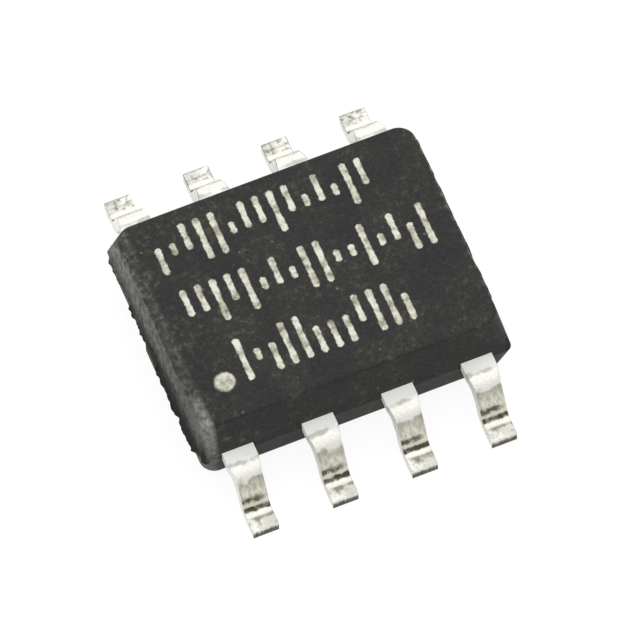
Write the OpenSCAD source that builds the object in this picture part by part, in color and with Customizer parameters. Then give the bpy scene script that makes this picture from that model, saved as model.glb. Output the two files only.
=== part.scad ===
// Eight-lead small-outline integrated circuit with gull-wing leads.
// The origin is on the seating plane, under the middle of the moulding. +Z is up and +X runs along
// the lead rows. Leads 1 to 4 are on the -Y side, counted from -X, and leads 5 to 8 come back on +Y.

/* [Moulding] */
// Width across the lead rows, at the parting line
body_w = 3.90; // [3.60:0.01:4.20]
// Height from the underside to the top
body_h = 1.40; // [1.30:0.01:1.60]
// From the middle of an outer lead to the end of the moulding, at the parting line
end_margin = 0.585; // [0.50:0.005:0.70]
// Height of the parting line above the underside
parting_h = 0.62; // [0.52:0.01:0.70]
// Draft of the two end walls, in degrees
end_draft = 8.5; // [3:0.5:12]
// Draft of the two side walls, in degrees
side_draft = 11; // [3:0.5:15]
// Radius of the upright corners at the parting line
parting_corner_r = 0.10; // [0.06:0.01:0.14]
// Radius of the upright corners at the top, where their taper ends
top_corner_r = 0.28; // [0.15:0.01:0.35]
// Radius of the edges round the top and the underside
edge_r = 0.04; // [0.02:0.01:0.06]
// Diameter of the ejector pin's mark in the underside
ejector_d = 1.00; // [0.60:0.05:1.50]
// Depth of the ejector pin's mark
ejector_depth = 0.03; // [0.01:0.01:0.06]

/* [Leads] */
// Spacing of the leads along a row
pitch = 1.27; // [1.10:0.01:1.40]
// Thickness of the lead frame's sheet
lead_t = 0.20; // [0.15:0.01:0.25]
// Width of a lead where it leaves the moulding
shoulder_w = 0.50; // [0.40:0.01:0.60]
// Width of a lead from below the knee to the tip
foot_w = 0.41; // [0.33:0.01:0.50]
// Straight run from the moulding to the knee
shoulder_l = 0.19; // [0.10:0.01:0.40]
// Length of the flat foot, from the ankle to the tip
foot_l = 0.25; // [0.20:0.01:0.60]
// Lean of the shank away from upright, in degrees
shank_lean = 22; // [0:1:30]
// Inside radius of every bend in the sheet
bend_r = 0.15; // [0.08:0.01:0.18]
// Gap between the seating plane and the underside of the moulding
standoff = 0.15; // [0.05:0.01:0.25]

/* [Lead frame inside] */
// Length of the narrow neck from the wall to the head of an inner lead
neck_l = 0.30; // [0.20:0.01:0.40]
// Length of the head that takes the bond wire
head_l = 0.42; // [0.40:0.01:0.50]
// Gap between the heads of neighbouring leads
head_gap = 0.25; // [0.15:0.01:0.40]
// Step from the neck to the head on the end side of an outer lead
lock_step = 0.08; // [0.04:0.01:0.12]
// Diameter of the hole through which the moulding locks a head
lock_hole_d = 0.18; // [0.12:0.01:0.20]
// Metal left between the locking hole and the neck's end of the head
lock_rim = 0.08; // [0.05:0.01:0.10]
// Gap between the heads and the die paddle
paddle_gap = 0.20; // [0.12:0.01:0.30]
// From the end of the moulding to the die paddle
paddle_end = 0.95; // [0.80:0.01:1.10]
// Drop of the die paddle below the leads
downset = 0.12; // [0.08:0.01:0.20]
// Width of a tie bar
tie_w = 0.40; // [0.25:0.01:0.50]
// Level run of a tie bar between the paddle and its first bend
tie_flat = 0.12; // [0.05:0.01:0.20]
// Turn of a tie bar's bends, in degrees
tie_turn = 30; // [20:1:35]
// Stub of a cut tie bar that stands proud of the end wall
tie_stub = 0.03; // [0.01:0.01:0.10]

/* [Die and wires] */
// Length of the die along the lead rows
die_l = 1.70; // [1.20:0.01:2.40]
// Width of the die across the lead rows
die_w = 1.20; // [0.90:0.01:1.60]
// Thickness of the die
die_t = 0.25; // [0.15:0.01:0.30]
// Thickness of the adhesive under the die
attach_t = 0.03; // [0.02:0.01:0.05]
// Margin of adhesive squeezed out round the die
attach_margin = 0.06; // [0.03:0.01:0.12]
// Diameter of a bond wire
wire_d = 0.03; // [0.02:0.005:0.05]
// Diameter of the ball at the die's end of a wire
ball_d = 0.08; // [0.06:0.005:0.10]
// Diameter of the flattened stitch at the lead's end of a wire
stitch_d = 0.07; // [0.05:0.005:0.10]
// Height of a wire's loop above the straight line between its ends
loop_h = 0.16; // [0.10:0.01:0.20]
// From the edge of the die to the middle of a bond pad
pad_inset = 0.10; // [0.06:0.01:0.15]
// From the end of a head to the middle of its stitch
stitch_inset = 0.08; // [0.06:0.01:0.10]

/* [Hidden] */
$fn = 48;
row_leads = 4;
lead_count = 2 * row_leads;
corner_steps = 8;
edge_steps = 3;
bend_steps = 10;
wire_steps = 10;
wire_sides = 8;
// How far a cutter runs past the faces that it cuts
cut_over = 1;

body_l = (row_leads - 1) * pitch + 2 * end_margin;
parting_z = standoff + parting_h;
lead_top = parting_z + lead_t / 2;
bend_mid_r = bend_r + lead_t / 2;

shank_turn = 90 - shank_lean;
wall_u = body_w / 2;
knee_u = wall_u + shoulder_l;
knee_end_u = knee_u + bend_mid_r * sin(shank_turn);
shank_drop = parting_z - lead_t / 2;
ankle_end_u = knee_u + step_run(shank_drop, shank_turn);
tip_u = ankle_end_u + foot_l;

neck_u = wall_u - neck_l;
head_u = neck_u - head_l;
lock_u = neck_u - lock_rim - lock_hole_d / 2;
stitch_u = head_u + stitch_inset;
head_half = (pitch - head_gap) / 2;
end_half = shoulder_w / 2 + lock_step;

paddle_w = 2 * (head_u - paddle_gap);
paddle_l = body_l - 2 * paddle_end;
paddle_mid_z = parting_z - downset;
paddle_top = paddle_mid_z + lead_t / 2;
tie_bend_x = paddle_l / 2 + tie_flat;
tie_tip_x = body_l / 2 + tie_stub;

die_base = paddle_top + attach_t;
die_top = die_base + die_t;
pad_pitch = (die_l - 2 * pad_inset) / (row_leads - 1);
pad_u = die_w / 2 - pad_inset;

moulding_colour = "#3b3c3b";
plated_colour = "#d5d3c8";
copper_colour = "#b87a55";
adhesive_colour = "#a9aaa6";
silicon_colour = "#6a7078";
gold_colour = "#d8b04a";

function reversed(list) = [for (k = [len(list) - 1 : -1 : 0]) list[k]];

// Sheet strips, drawn as stations [along, height, heading in degrees] on the sheet's middle line

// Straight length between the two bends of a step of this height
function step_straight(step, turn) = (abs(step) - 2 * bend_mid_r * (1 - cos(turn))) / sin(turn);

// How far a step of this height reaches along the strip
function step_run(step, turn) = 2 * bend_mid_r * sin(turn) + step_straight(step, turn) * cos(turn);

// Stations of a step: a bend away from level, a straight and a bend back to level
function step_stations(along, height, step, turn) =
    let (
        way = sign(step),
        far_along = along + step_run(step, turn),
        first = [for (k = [0 : bend_steps]) turn * k / bend_steps],
        second = [for (k = [bend_steps : -1 : 0]) turn * k / bend_steps]
    )
    concat(
        [for (a = first) [along + bend_mid_r * sin(a), height + way * bend_mid_r * (1 - cos(a)), way * a]],
        [for (a = second)
            [far_along - bend_mid_r * sin(a), height + step - way * bend_mid_r * (1 - cos(a)), way * a]]
    );

// A point at this distance above a station's middle line
function beside(station, distance) =
    [station[0] - distance * sin(station[2]), station[1] + distance * cos(station[2])];

// Side view of a strip of sheet along its stations
function strip_outline(stations) = concat(
    [for (s = stations) beside(s, lead_t / 2)],
    [for (s = reversed(stations)) beside(s, -lead_t / 2)]
);

// Skins, drawn over rings that have the same number of points in the same order

// Closed solid over a list of rings
module loft(rings) {
    sides = len(rings[0]);
    last = len(rings) - 1;
    walls = [
        for (k = [0 : last - 1], b = [0 : sides - 1])
            let (here = k * sides + b, after = k * sides + (b + 1) % sides)
            each [[here, here + sides, after + sides], [here, after + sides, after]]
    ];
    first_cap = [for (b = [0 : sides - 1]) b];
    last_cap = [for (b = [sides - 1 : -1 : 0]) last * sides + b];
    polyhedron([for (ring = rings) each ring], concat(walls, [first_cap, last_cap]));
}

// Level rectangle with round corners, drawn in from the parting line by the draft of its walls and
// by this much more, where an edge is rounded
function moulding_ring(z, drawn_in = 0) =
    let (
        rise = abs(z - parting_z),
        taper = (top_corner_r - parting_corner_r) / (body_h - parting_h),
        corner_r = parting_corner_r + rise * taper - drawn_in,
        corner_x = body_l / 2 - rise * tan(end_draft) - drawn_in - corner_r,
        corner_y = body_w / 2 - rise * tan(side_draft) - drawn_in - corner_r
    )
    [
        for (quarter = [0 : 3], k = [0 : corner_steps])
            let (
                a = 90 * (quarter + k / corner_steps),
                side_x = quarter == 0 || quarter == 3 ? 1 : -1,
                side_y = quarter < 2 ? 1 : -1
            )
            [side_x * corner_x + corner_r * cos(a), side_y * corner_y + corner_r * sin(a), z]
    ];

// Rings of a rounded edge, from the wall to the level face at this height, which lies up or down
function edge_rings(face_z, way) = [
    for (k = [0 : edge_steps])
        let (a = 90 * k / edge_steps)
        moulding_ring(face_z - way * edge_r * (1 - sin(a)), edge_r * (1 - cos(a)))
];

moulding_rings = concat(
    reversed(edge_rings(standoff, -1)),
    [moulding_ring(parting_z)],
    edge_rings(standoff + body_h, 1)
);

// Leads, drawn on the +Y side and turned to their own side

module on_side(i) {
    rotate([0, 0, i > row_leads ? 0 : 180])
        children();
}

// Place of a lead in its row, from the +X end of the +Y side
function row_place(i) = (i - 1) % row_leads;
function row_x(i, spacing) = ((row_leads - 1) / 2 - row_place(i)) * spacing;

// Reach of a head to each side of its lead: short towards the end of the moulding
function reach_up(i) = row_place(i) == 0 ? end_half : head_half;
function reach_down(i) = row_place(i) == row_leads - 1 ? end_half : head_half;
function head_x(i) = row_x(i, pitch) + (reach_up(i) - reach_down(i)) / 2;

lead_stations = concat(
    [[head_u, parting_z, 0]],
    step_stations(knee_u, parting_z, -shank_drop, shank_turn),
    [[tip_u, lead_t / 2, 0]]
);

module lead_plan(i) {
    shoulder = shoulder_w / 2;
    foot = foot_w / 2;
    translate([row_x(i, pitch), 0])
        polygon([
            [-reach_down(i), head_u], [reach_up(i), head_u],
            [reach_up(i), neck_u], [shoulder, neck_u],
            [shoulder, knee_u], [foot, knee_end_u],
            [foot, tip_u + cut_over], [-foot, tip_u + cut_over],
            [-foot, knee_end_u], [-shoulder, knee_u],
            [-shoulder, neck_u], [-reach_down(i), neck_u]
        ]);
}

module lead(i) {
    color(plated_colour)
        on_side(i)
            difference() {
                intersection() {
                    rotate([90, 0, 90])
                        linear_extrude(height = body_l, center = true)
                            polygon(strip_outline(lead_stations));
                    translate([0, 0, -cut_over])
                        linear_extrude(height = lead_top + 2 * cut_over)
                            lead_plan(i);
                }
                translate([head_x(i), lock_u, parting_z - cut_over])
                    cylinder(d = lock_hole_d, h = 2 * cut_over);
            }
}

// Die paddle and its two tie bars, one piece of the same sheet

tie_stations = concat(
    step_stations(tie_bend_x, paddle_mid_z, downset, tie_turn),
    [[tie_tip_x, parting_z, 0]]
);

paddle_stations = concat(
    [for (s = reversed(tie_stations)) [-s[0], s[1], -s[2]]],
    tie_stations
);

module die_paddle() {
    color(copper_colour)
        intersection() {
            rotate([90, 0, 0])
                linear_extrude(height = body_w, center = true)
                    polygon(strip_outline(paddle_stations));
            linear_extrude(height = lead_top + cut_over) {
                square([paddle_l, paddle_w], center = true);
                square([2 * (tie_tip_x + cut_over), tie_w], center = true);
            }
        }
}

// Die, its adhesive and its wires

module plate(length, width, thickness, base) {
    translate([-length / 2, -width / 2, base])
        cube([length, width, thickness]);
}

module die_attach() {
    color(adhesive_colour)
        plate(die_l + 2 * attach_margin, die_w + 2 * attach_margin, attach_t, paddle_top);
}

module silicon_die() {
    color(silicon_colour)
        plate(die_l, die_w, die_t, die_base);
}

// Rings along a wire that rises square from its pad, arches over and comes down square on the head
function wire_rings(i) =
    let (
        start = [row_x(i, pad_pitch), pad_u, die_top],
        finish = [head_x(i), stitch_u, lead_top],
        run = norm([finish.x - start.x, finish.y - start.y]),
        ahead = [finish.x - start.x, finish.y - start.y, 0] / run,
        across = [-ahead.y, ahead.x, 0],
        fall = finish.z - start.z
    )
    [
        for (k = [0 : wire_steps])
            let (
                arch = 180 * k / wire_steps,
                share = (1 - cos(arch)) / 2,
                middle = start + ahead * run * share + [0, 0, fall * share + loop_h * sin(arch)],
                climb = atan2(fall * sin(arch) / 2 + loop_h * cos(arch), run * sin(arch) / 2),
                over = [0, 0, cos(climb)] - ahead * sin(climb),
                d = k == 0 ? ball_d : k == wire_steps ? stitch_d : wire_d
            )
            [for (b = [0 : wire_sides - 1])
                let (a = 360 * b / wire_sides)
                middle + d / 2 * (across * cos(a) + over * sin(a))]
    ];

module bond_wire(i) {
    color(gold_colour)
        on_side(i)
            loft(wire_rings(i));
}

// Moulding round all of these

module inserts() {
    for (i = [1 : lead_count]) {
        lead(i);
        bond_wire(i);
    }
    die_paddle();
    die_attach();
    silicon_die();
}

module mould_body() {
    color(moulding_colour)
        difference() {
            loft(moulding_rings);
            inserts();
            translate([0, 0, standoff - cut_over])
                cylinder(d = ejector_d, h = cut_over + ejector_depth);
        }
}

mould_body();
die_paddle();
die_attach();
silicon_die();
for (i = [1 : lead_count]) {
    lead(i);
    bond_wire(i);
}
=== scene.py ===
import math
import random

import bmesh
import bpy
from mathutils import Matrix, Vector, noise


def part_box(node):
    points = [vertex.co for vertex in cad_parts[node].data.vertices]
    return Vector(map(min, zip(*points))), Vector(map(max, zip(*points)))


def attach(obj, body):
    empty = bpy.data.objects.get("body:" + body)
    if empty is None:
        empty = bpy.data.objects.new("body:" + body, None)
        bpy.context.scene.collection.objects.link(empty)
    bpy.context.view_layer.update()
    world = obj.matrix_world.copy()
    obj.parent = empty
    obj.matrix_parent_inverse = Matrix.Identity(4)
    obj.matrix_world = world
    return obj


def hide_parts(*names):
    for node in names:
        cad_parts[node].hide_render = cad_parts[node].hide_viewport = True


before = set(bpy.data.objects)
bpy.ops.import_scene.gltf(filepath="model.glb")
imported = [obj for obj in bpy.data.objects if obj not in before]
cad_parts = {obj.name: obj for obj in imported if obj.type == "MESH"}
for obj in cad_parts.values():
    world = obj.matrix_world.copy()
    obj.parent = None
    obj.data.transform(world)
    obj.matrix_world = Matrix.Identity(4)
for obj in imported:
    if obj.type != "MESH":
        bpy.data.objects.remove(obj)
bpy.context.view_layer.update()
mm = 0.001  # sizes below are in millimetres, Blender works in metres
weldWithin = 0.00001  # points nearer to each other than this become one
leadNumbers = range(1, 9)

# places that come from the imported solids, in mm
bodyLow, bodyHigh = (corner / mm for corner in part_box("mould_body"))
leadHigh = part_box("lead_8")[1] / mm
leadForm = {"thickness": 0.20, "bendRadius": 0.15, "footLength": 0.25}  # as formed from the sheet
partingZ = leadHigh.z - leadForm["thickness"] / 2
ankleY = leadHigh.y - leadForm["footLength"]  # where the flat foot meets the bend
print("frame loaded,", len(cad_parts), "solids, parting line at", round(partingZ, 3), "mm")


# camera, fitted to the foot tips in the 640 pixel picture
cameraView = {
    "azimuth": -18.92,
    "elevation": 62.29,
    "roll": -3.65,
    "distance": 147.0,
    "pixelsPerMm": 67.30,
    "pictureWidth": 640,
    "aimHeight": 0.8,  # mm over the seating plane
    "aimRight": 0.180,  # mm from there to the middle of the picture
    "aimUp": -0.317,
    "sensor": 36.0,
    "clip": (0.01, 10),  # metres
}


def addCamera(view):
    turn, lift, roll = (math.radians(view[k]) for k in ("azimuth", "elevation", "roll"))
    back = Vector((math.sin(turn) * math.cos(lift), -math.cos(turn) * math.cos(lift), math.sin(lift)))
    right = Vector((math.cos(turn), math.sin(turn), 0))
    up = back.cross(right)
    tiltedRight = math.cos(roll) * right + math.sin(roll) * up
    tiltedUp = math.cos(roll) * up - math.sin(roll) * right
    aim = Vector((0, 0, view["aimHeight"])) + view["aimRight"] * tiltedRight + view["aimUp"] * tiltedUp
    place = (aim + back * view["distance"]) * mm
    lens = bpy.data.cameras.new("pictureCamera")
    lens.sensor_width = view["sensor"]
    lens.lens = view["sensor"] * view["pixelsPerMm"] * view["distance"] / view["pictureWidth"]
    lens.clip_start, lens.clip_end = view["clip"]
    camera = bpy.data.objects.new("pictureCamera", lens)
    bpy.context.scene.collection.objects.link(camera)
    axes = Matrix((tiltedRight, tiltedUp, back)).transposed().to_4x4()
    camera.matrix_world = Matrix.Translation(place) @ axes
    bpy.context.scene.camera = camera


addCamera(cameraView)
print("camera placed")


# small helpers

def linearFromHex(code):
    parts = [int(code[i:i + 2], 16) / 255 for i in (1, 3, 5)]
    linear = [c / 12.92 if c <= 0.04045 else ((c + 0.055) / 1.055) ** 2.4 for c in parts]
    return (*linear, 1.0)


def addNode(tree, kind, settings=None, **sockets):
    node = tree.nodes.new("ShaderNode" + kind)
    settings = dict(settings or {})
    stops = settings.pop("stops", [])  # a colour ramp's places, with a hex colour or a grey level each
    for name, value in settings.items():
        setattr(node, name, value)
    for k, (place, colour) in enumerate(stops):
        element = node.color_ramp.elements[k] if k < 2 else node.color_ramp.elements.new(place)
        element.position = place
        element.color = linearFromHex(colour) if isinstance(colour, str) else (colour, colour, colour, 1)
    for name, value in sockets.items():
        if name[0] == "_":  # by number, where a node has several sockets of one name
            socket = node.inputs[int(name[1:])]
        else:
            socket = next(s for s in node.inputs if s.enabled and s.name.replace(" ", "") == name)
        if isinstance(value, bpy.types.Node):
            value = next(s for s in value.outputs if s.enabled)
        if isinstance(value, bpy.types.NodeSocket):
            tree.links.new(value, socket)
        else:
            socket.default_value = value
    return node


def newMaterial(name):
    material = bpy.data.materials.new(name)
    material.use_nodes = True
    material.node_tree.nodes.clear()
    return material, material.node_tree


def millimetres(tree):
    place = addNode(tree, "TexCoord").outputs["Object"]
    return addNode(tree, "VectorMath", {"operation": "SCALE"}, _0=place, Scale=1 / mm)


def newPiece(name, mesh, materials, replaced=()):
    piece = bpy.data.objects.new(name, mesh)
    bpy.context.scene.collection.objects.link(piece)
    for material in materials:
        mesh.materials.append(material)
    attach(piece, "root")
    if replaced:
        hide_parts(*replaced)
    return piece


def settle(piece):
    graph = bpy.context.evaluated_depsgraph_get()
    finished = bpy.data.meshes.new_from_object(piece.evaluated_get(graph))
    finished.name = piece.name
    piece.modifiers.clear()
    piece.data = finished
    return piece


def meshFrom(shape, name):
    mesh = bpy.data.meshes.new(name)
    shape.to_mesh(mesh)
    shape.free()
    return mesh


# materials

def waxedResin(tree, place, x, cloud, spot):
    # charcoal resin with faint olive clouds, spots of mould wax and a few pale specks of filler
    waxFrom, waxTo = -1.0, -2.0  # mm in X, between which the wax gets thicker
    specksApart = 0.19  # mm
    clouded = addNode(tree, "ValToRGB",
                      {"stops": [(0.36, "#262627"), (0.54, "#2b2c29"), (0.68, "#30312b")]}, Fac=cloud)
    thicker = addNode(tree, "MapRange", Value=x, FromMin=waxFrom, FromMax=waxTo, ToMin=0.75, ToMax=1.5)
    gathered = addNode(tree, "MapRange", Value=cloud, FromMin=0.42, FromMax=0.62, ToMin=0.2)
    clustered = addNode(tree, "Math", {"operation": "MULTIPLY"}, _0=gathered, _1=thicker)
    spotted = addNode(tree, "MapRange", Value=spot, FromMin=0.52, FromMax=0.70)
    waxAmount = addNode(tree, "Math", {"operation": "MULTIPLY"}, _0=spotted, _1=clustered)
    waxed = addNode(tree, "Mix", {"data_type": "RGBA"}, Factor=waxAmount, A=clouded,
                    B=linearFromHex("#4c4e3f"))
    cells = addNode(tree, "TexVoronoi", Vector=place, Scale=1 / specksApart)
    speck = addNode(tree, "MapRange", Value=cells.outputs["Distance"], FromMin=0.14, FromMax=0.05)
    kept = addNode(tree, "Math", {"operation": "GREATER_THAN"}, _0=cells.outputs["Color"], _1=0.7)
    specks = addNode(tree, "Math", {"operation": "MULTIPLY"}, _0=speck, _1=kept)
    return addNode(tree, "Mix", {"data_type": "RGBA"}, Factor=specks, A=waxed, B=linearFromHex("#62655d"))


def cornerRubAndSheen(tree, x, y, z, spot, resin):
    # pale grey at the near end, stronger towards the corner of lead one: a rub on the top's edge, painted
    # sheen on the end wall and its rounded corner, and a painted highlight line along the edge
    rubFrom, rubTo = -2.16, -2.25  # mm in X, over which the rub on the top starts
    cornerFrom, cornerTo = -1.10, -1.75  # mm in Y, over which it gets stronger and smoother
    fadeFrom, fadeTo = 0.80, 1.45  # mm in Z, over which it fades down the wall
    edgeHighlightAt, lineWide = -2.24, 0.04  # mm in X, a painted highlight line along the near end's edge
    nearEnd = addNode(tree, "MapRange", Value=x, FromMin=rubFrom, FromMax=rubTo)
    stronger = addNode(tree, "MapRange", Value=y, FromMin=cornerFrom, FromMax=cornerTo, ToMin=0.13,
                       ToMax=0.95)
    fromLine = addNode(tree, "Math", {"operation": "SUBTRACT"}, _0=x, _1=edgeHighlightAt)
    offLine = addNode(tree, "Math", {"operation": "ABSOLUTE"}, _0=fromLine)
    line = addNode(tree, "MapRange", Value=offLine, FromMin=lineWide, FromMax=0, ToMax=0.10)
    strip = addNode(tree, "Math", {"operation": "MULTIPLY_ADD"}, _0=nearEnd, _1=stronger, _2=line)
    evenFrom = addNode(tree, "MapRange", Value=y, FromMin=cornerFrom, FromMax=cornerTo, ToMin=0.3,
                       ToMax=0.2)
    fromEven = addNode(tree, "Math", {"operation": "SUBTRACT"}, _0=spot, _1=evenFrom)
    smoother = addNode(tree, "MapRange", Value=fromEven, FromMax=0.3)
    higher = addNode(tree, "MapRange", Value=z, FromMin=fadeFrom, FromMax=fadeTo, ToMin=0.35)
    evenRubAndSheen = addNode(tree, "Math", {"operation": "MULTIPLY"}, _0=strip, _1=smoother)
    endRubAndSheen = addNode(tree, "Math", {"operation": "MULTIPLY"}, _0=evenRubAndSheen, _1=higher)
    return addNode(tree, "Mix", {"data_type": "RGBA"}, Factor=endRubAndSheen, A=resin, B=linearFromHex("#91928a"))


def endWallSheenAndShade(tree, x, y, z, spot, resin):
    # end walls painted grey over the seam as painted sheen, paler at the back, with dark patches of painted
    # shade along the seam
    wallFrom, wallTo, wallRagged = 2.36, 2.40, 0.16  # mm in X, where the end walls start
    baredFrom, baredTo = 0.12, 0.02  # mm under the parting line, over which the grey starts
    toneFrom, toneTo = -1.9, 1.9  # mm in Y, over which it gets paler
    seamShadeTop, seamShadeFade, seamShadeRagged = 0.92, 0.28, 0.5  # mm in Z
    seamShadeRise, seamShadeMore = 0.02, 0.07  # mm in Z and share of the painted shade, for each mm towards the front
    endwards = addNode(tree, "Math", {"operation": "ABSOLUTE"}, _0=x)
    raggedEnd = addNode(tree, "Math", {"operation": "MULTIPLY_ADD"}, _0=spot, _1=wallRagged, _2=endwards)
    atWall = addNode(tree, "MapRange", Value=raggedEnd, FromMin=wallFrom + wallRagged / 2,
                     FromMax=wallTo + wallRagged / 2)
    overSeam = addNode(tree, "MapRange", Value=z, FromMin=partingZ - baredFrom, FromMax=partingZ - baredTo)
    onWall = addNode(tree, "Math", {"operation": "MULTIPLY"}, _0=atWall, _1=overSeam)
    uneven = addNode(tree, "MapRange", Value=spot, FromMin=0.3, FromMax=0.6)
    # painted sheen: the wall over the seam is made a paler grey
    bared = addNode(tree, "Math", {"operation": "MULTIPLY"}, _0=onWall, _1=uneven)
    backwards = addNode(tree, "MapRange", Value=y, FromMin=toneFrom, FromMax=toneTo)
    wallSheenTone = addNode(tree, "Mix", {"data_type": "RGBA"}, Factor=backwards, A=linearFromHex("#4e4f49"),
                       B=linearFromHex("#83847d"))
    wallSheened = addNode(tree, "Mix", {"data_type": "RGBA"}, Factor=bared, A=resin, B=wallSheenTone)
    # painted shade: a patchy dark band low on the wall, along the seam
    level = addNode(tree, "Math", {"operation": "MULTIPLY_ADD"}, _0=y, _1=seamShadeRise, _2=z)
    ragged = addNode(tree, "Math", {"operation": "MULTIPLY_ADD"}, _0=spot, _1=seamShadeRagged, _2=level)
    low = addNode(tree, "MapRange", Value=ragged, FromMin=seamShadeTop + seamShadeFade + seamShadeRagged / 2,
                  FromMax=seamShadeTop + seamShadeRagged / 2)
    frontwards = addNode(tree, "Math", {"operation": "MULTIPLY_ADD"}, _0=y, _1=-seamShadeMore, _2=spot)
    patchy = addNode(tree, "MapRange", Value=frontwards, FromMin=0.32, FromMax=0.47, ToMin=0.2, ToMax=0.95)
    lowPatches = addNode(tree, "Math", {"operation": "MULTIPLY"}, _0=low, _1=patchy)
    seamShade = addNode(tree, "Math", {"operation": "MULTIPLY"}, _0=onWall, _1=lowPatches)
    seamShaded = addNode(tree, "Mix", {"data_type": "RGBA"}, Factor=seamShade, A=wallSheened, B=linearFromHex("#2b2b2a"))
    return seamShaded, seamShade


def mouldedEpoxy():
    # silica-filled epoxy moulded in a spark-eroded cavity: charcoal and dull with a fine even grain, waxed
    # in olive clouds, rubbed grey at one end, with painted sheen on the end walls, a painted highlight at
    # the near end and painted shade along their seam
    material, tree = newMaterial("mouldedEpoxy")
    grainSize, spotSize, cloudSize = 0.04, 0.11, 0.7  # mm, the real grain is about 0.02
    place = millimetres(tree)
    parts = addNode(tree, "SeparateXYZ", Vector=place)
    x, y, z = (parts.outputs[axis] for axis in "XYZ")
    grain = addNode(tree, "TexNoise", Vector=place, Scale=1 / grainSize, Detail=2, Roughness=0.6)
    spot = addNode(tree, "TexNoise", Vector=place, Scale=1 / spotSize, Detail=3, Roughness=0.6)
    cloud = addNode(tree, "TexNoise", Vector=place, Scale=1 / cloudSize, Detail=2)
    waxed = waxedResin(tree, place, x, cloud, spot)
    rubAndPaintedLight = cornerRubAndSheen(tree, x, y, z, spot, waxed)
    seamShaded, seamShade = endWallSheenAndShade(tree, x, y, z, spot, rubAndPaintedLight)
    shade = addNode(tree, "MapRange", Value=grain, FromMin=0.25, FromMax=0.75, ToMin=0.55, ToMax=1.45)
    grained = addNode(tree, "VectorMath", {"operation": "SCALE"}, _0=seamShaded, Scale=shade)
    rough = addNode(tree, "MapRange", Value=seamShade, ToMin=0.55, ToMax=0.9)
    bump = addNode(tree, "Bump", Strength=0.4, Distance=0.006 * mm, Height=grain)
    shader = addNode(tree, "BsdfPrincipled", BaseColor=grained, Roughness=rough, SpecularIORLevel=0.22,
                     Normal=bump)
    addNode(tree, "OutputMaterial", Surface=shader)
    return material


def leadPlaces(tree):
    # what the marks on a lead follow, alike on all eight and turned round for the back row
    halfPitch = 0.635  # mm
    stains, lobes = 0.10, 0.20  # mm, the size of the stains and of ragged starts
    place = millimetres(tree)
    parts = addNode(tree, "SeparateXYZ", Vector=place)
    x, y, z = (parts.outputs[axis] for axis in "XYZ")
    normal = addNode(tree, "NewGeometry").outputs["Normal"]
    facing = addNode(tree, "SeparateXYZ", Vector=normal)
    side = addNode(tree, "Math", {"operation": "SIGN"}, _0=y)
    wrapped = addNode(tree, "Math", {"operation": "WRAP"}, _0=x, _1=2 * halfPitch, _2=0)
    across = addNode(tree, "Math", {"operation": "SUBTRACT"}, _0=halfPitch, _1=wrapped)
    return {
        "place": place,
        "z": z,
        "outward": addNode(tree, "Math", {"operation": "ABSOLUTE"}, _0=y),
        "onBack": addNode(tree, "Math", {"operation": "GREATER_THAN"}, _0=y, _1=0),
        "rightward": addNode(tree, "Math", {"operation": "MULTIPLY"}, _0=across, _1=side),
        "fromMiddle": addNode(tree, "Math", {"operation": "ABSOLUTE"}, _0=across),
        "upward": addNode(tree, "MapRange", Value=facing.outputs["Z"], FromMin=0.1, FromMax=0.3),
        "outFace": addNode(tree, "Math", {"operation": "MULTIPLY"}, _0=facing.outputs["Y"], _1=side),
        "stain": addNode(tree, "TexNoise", Vector=place, Scale=1 / stains, Detail=3, Roughness=0.6),
        "lobe": addNode(tree, "TexNoise", Vector=place, Scale=1 / lobes, Detail=2),
    }


def platingWithNearBodyLight(tree, at, crystal):
    # mottled by its crystals, painted paler by the moulding to offset the dark wall's shade, with the
    # forming tool's scuff on the knee
    brightTo, brightFade, brightRagged = 2.08, 0.12, 0.3  # mm in Y
    scuffAt, scuffWide, scuffRagged = 2.175, 0.04, 0.2  # mm in Y
    mottled = addNode(tree, "ValToRGB", {"stops": [(0.30, "#ebeae2"), (0.62, "#f9f8f3")]}, Fac=crystal)
    raggedOut = addNode(tree, "Math", {"operation": "MULTIPLY_ADD"}, _0=at["stain"], _1=brightRagged,
                        _2=at["outward"])
    # painted light: paler by the moulding, where the wall beside it shades the plating
    paintedLightNearBody = addNode(tree, "MapRange", Value=raggedOut, FromMin=brightTo + brightFade + brightRagged / 2,
                     FromMax=brightTo + brightRagged / 2)
    platingWithPaintedLight = addNode(tree, "Mix", {"data_type": "RGBA"}, Factor=paintedLightNearBody, A=mottled,
                     B=linearFromHex("#fbfaf7"))
    fromScuff = addNode(tree, "Math", {"operation": "SUBTRACT"}, _0=at["outward"], _1=scuffAt)
    offScuff = addNode(tree, "Math", {"operation": "ABSOLUTE"}, _0=fromScuff)
    raggedScuff = addNode(tree, "Math", {"operation": "MULTIPLY_ADD"}, _0=at["lobe"], _1=-scuffRagged,
                          _2=offScuff)
    scuffMost = addNode(tree, "Math", {"operation": "MULTIPLY"}, _0=at["upward"], _1=0.5)
    scuff = addNode(tree, "MapRange", Value=raggedScuff, FromMin=scuffWide - scuffRagged / 2,
                    FromMax=-scuffRagged / 2, ToMax=scuffMost)
    scuffed = addNode(tree, "Mix", {"data_type": "RGBA"}, Factor=scuff, A=platingWithPaintedLight,
                      B=linearFromHex("#969485"))
    return scuffed, paintedLightNearBody


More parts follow.
